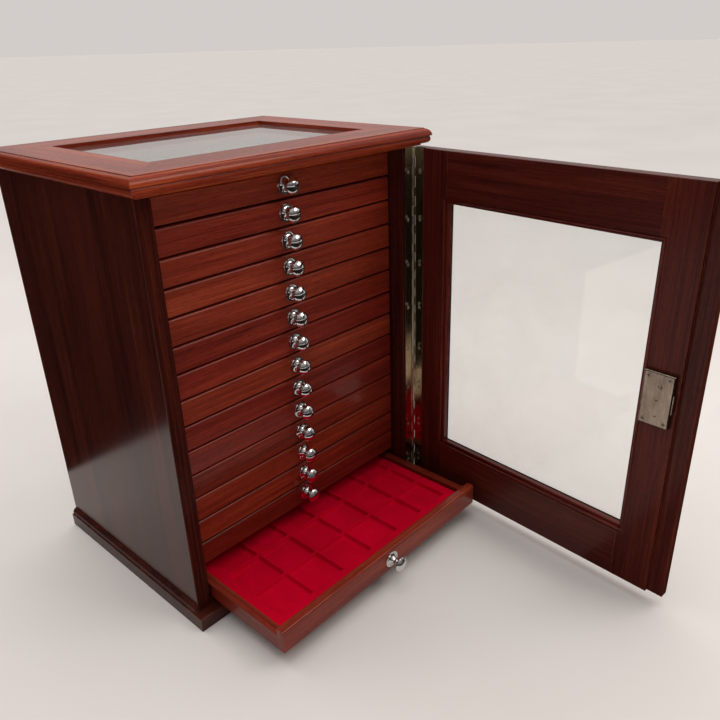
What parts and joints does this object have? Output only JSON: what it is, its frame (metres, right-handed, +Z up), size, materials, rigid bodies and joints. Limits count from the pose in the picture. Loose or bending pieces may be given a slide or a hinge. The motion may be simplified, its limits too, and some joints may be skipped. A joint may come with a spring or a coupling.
{
  "type": "coin display cabinet",
  "caption": "Wooden table-top coin cabinet with velvet-lined sliding tray drawers, a glazed top and a glazed door on a piano hinge.",
  "frame": {"origin": "under the middle of the carcass, on the surface that the base stands on", "axes": "+X to the right seen from the front, +Y to the back, +Z up; drawers pull out towards -Y"},
  "size_m": [0.4037, 0.6593, 0.4962],
  "materials": {
    "carcass_wood": "dark mahogany stain, satin varnish",
    "drawer_wood": "mahogany stain, satin varnish",
    "door_wood": "mahogany stain, satin varnish",
    "moulding_wood": "mahogany stain, polished",
    "runner_wood": "waxed",
    "velvet": "short pile velvet",
    "chrome": "polished",
    "hinge_steel": "aged, slightly tarnished",
    "lock_nickel": "aged nickel plate",
    "glass": "clear float glass"
  },
  "bodies": {
    "cabinet": {"left_side_panel": "carcass_wood", "right_side_panel": "carcass_wood", "back_panel": "carcass_wood", "base_plinth": "carcass_wood", "top_frame": "moulding_wood", "top_glass": "glass", "drawer_runners": "runner_wood", "hinge_leaf_cabinet": "hinge_steel", "hinge_pin": "hinge_steel"},
    "drawer_01_body": {"drawer_01": "drawer_wood", "tray_01": "velvet", "knob_01": "chrome"},
    "drawer_02_body": {"drawer_02": "drawer_wood", "tray_02": "velvet", "knob_02": "chrome"},
    "drawer_03_body": {"drawer_03": "drawer_wood", "tray_03": "velvet", "knob_03": "chrome"},
    "drawer_04_body": {"drawer_04": "drawer_wood", "tray_04": "velvet", "knob_04": "chrome"},
    "drawer_05_body": {"drawer_05": "drawer_wood", "tray_05": "velvet", "knob_05": "chrome"},
    "drawer_06_body": {"drawer_06": "drawer_wood", "tray_06": "velvet", "knob_06": "chrome"},
    "drawer_07_body": {"drawer_07": "drawer_wood", "tray_07": "velvet", "knob_07": "chrome"},
    "drawer_08_body": {"drawer_08": "drawer_wood", "tray_08": "velvet", "knob_08": "chrome"},
    "drawer_09_body": {"drawer_09": "drawer_wood", "tray_09": "velvet", "knob_09": "chrome"},
    "drawer_10_body": {"drawer_10": "drawer_wood", "tray_10": "velvet", "knob_10": "chrome"},
    "drawer_11_body": {"drawer_11": "drawer_wood", "tray_11": "velvet", "knob_11": "chrome"},
    "drawer_12_body": {"drawer_12": "drawer_wood", "tray_12": "velvet", "knob_12": "chrome"},
    "drawer_13_body": {"drawer_13": "drawer_wood", "tray_13": "velvet", "knob_13": "chrome"},
    "drawer_14_body": {"drawer_14": "drawer_wood", "tray_14": "velvet", "knob_14": "chrome"},
    "drawer_15_body": {"drawer_15": "drawer_wood", "tray_15": "velvet", "knob_15": "chrome"},
    "door": {"door_frame": "door_wood", "door_glass": "glass", "glazing_beads": "moulding_wood", "hinge_leaf_door": "hinge_steel", "lock_case": "lock_nickel"},
    "bolt": {"lock_bolt": "lock_nickel"}
  },
  "joints": [
    {"name": "drawer_01_slide", "type": "slide", "parent": "cabinet", "child": "drawer_01_body", "axis": [0, -1, 0], "range_m": [0, 0.2]},
    {"name": "drawer_02_slide", "type": "slide", "parent": "cabinet", "child": "drawer_02_body", "axis": [0, -1, 0], "range_m": [0, 0.2]},
    {"name": "drawer_03_slide", "type": "slide", "parent": "cabinet", "child": "drawer_03_body", "axis": [0, -1, 0], "range_m": [0, 0.2]},
    {"name": "drawer_04_slide", "type": "slide", "parent": "cabinet", "child": "drawer_04_body", "axis": [0, -1, 0], "range_m": [0, 0.2]},
    {"name": "drawer_05_slide", "type": "slide", "parent": "cabinet", "child": "drawer_05_body", "axis": [0, -1, 0], "range_m": [0, 0.2]},
    {"name": "drawer_06_slide", "type": "slide", "parent": "cabinet", "child": "drawer_06_body", "axis": [0, -1, 0], "range_m": [0, 0.2]},
    {"name": "drawer_07_slide", "type": "slide", "parent": "cabinet", "child": "drawer_07_body", "axis": [0, -1, 0], "range_m": [0, 0.2]},
    {"name": "drawer_08_slide", "type": "slide", "parent": "cabinet", "child": "drawer_08_body", "axis": [0, -1, 0], "range_m": [0, 0.2]},
    {"name": "drawer_09_slide", "type": "slide", "parent": "cabinet", "child": "drawer_09_body", "axis": [0, -1, 0], "range_m": [0, 0.2]},
    {"name": "drawer_10_slide", "type": "slide", "parent": "cabinet", "child": "drawer_10_body", "axis": [0, -1, 0], "range_m": [0, 0.2]},
    {"name": "drawer_11_slide", "type": "slide", "parent": "cabinet", "child": "drawer_11_body", "axis": [0, -1, 0], "range_m": [0, 0.2]},
    {"name": "drawer_12_slide", "type": "slide", "parent": "cabinet", "child": "drawer_12_body", "axis": [0, -1, 0], "range_m": [0, 0.2]},
    {"name": "drawer_13_slide", "type": "slide", "parent": "cabinet", "child": "drawer_13_body", "axis": [0, -1, 0], "range_m": [0, 0.2]},
    {"name": "drawer_14_slide", "type": "slide", "parent": "cabinet", "child": "drawer_14_body", "axis": [0, -1, 0], "range_m": [0, 0.2]},
    {"name": "drawer_15_slide", "type": "slide", "parent": "cabinet", "child": "drawer_15_body", "axis": [0, -1, 0], "range_m": [-0.1434, 0.0566]},
    {"name": "door_hinge", "type": "hinge", "parent": "cabinet", "child": "door", "pos_m": [0.19, -0.1416, 0.247], "axis": [0, 0, 1], "range_deg": [0, 90]},
    {"name": "lock_bolt_slide", "type": "slide", "parent": "door", "child": "bolt", "axis": [-0.075, -0.9972, 0], "range_m": [0, 0.0075]}
  ]
}
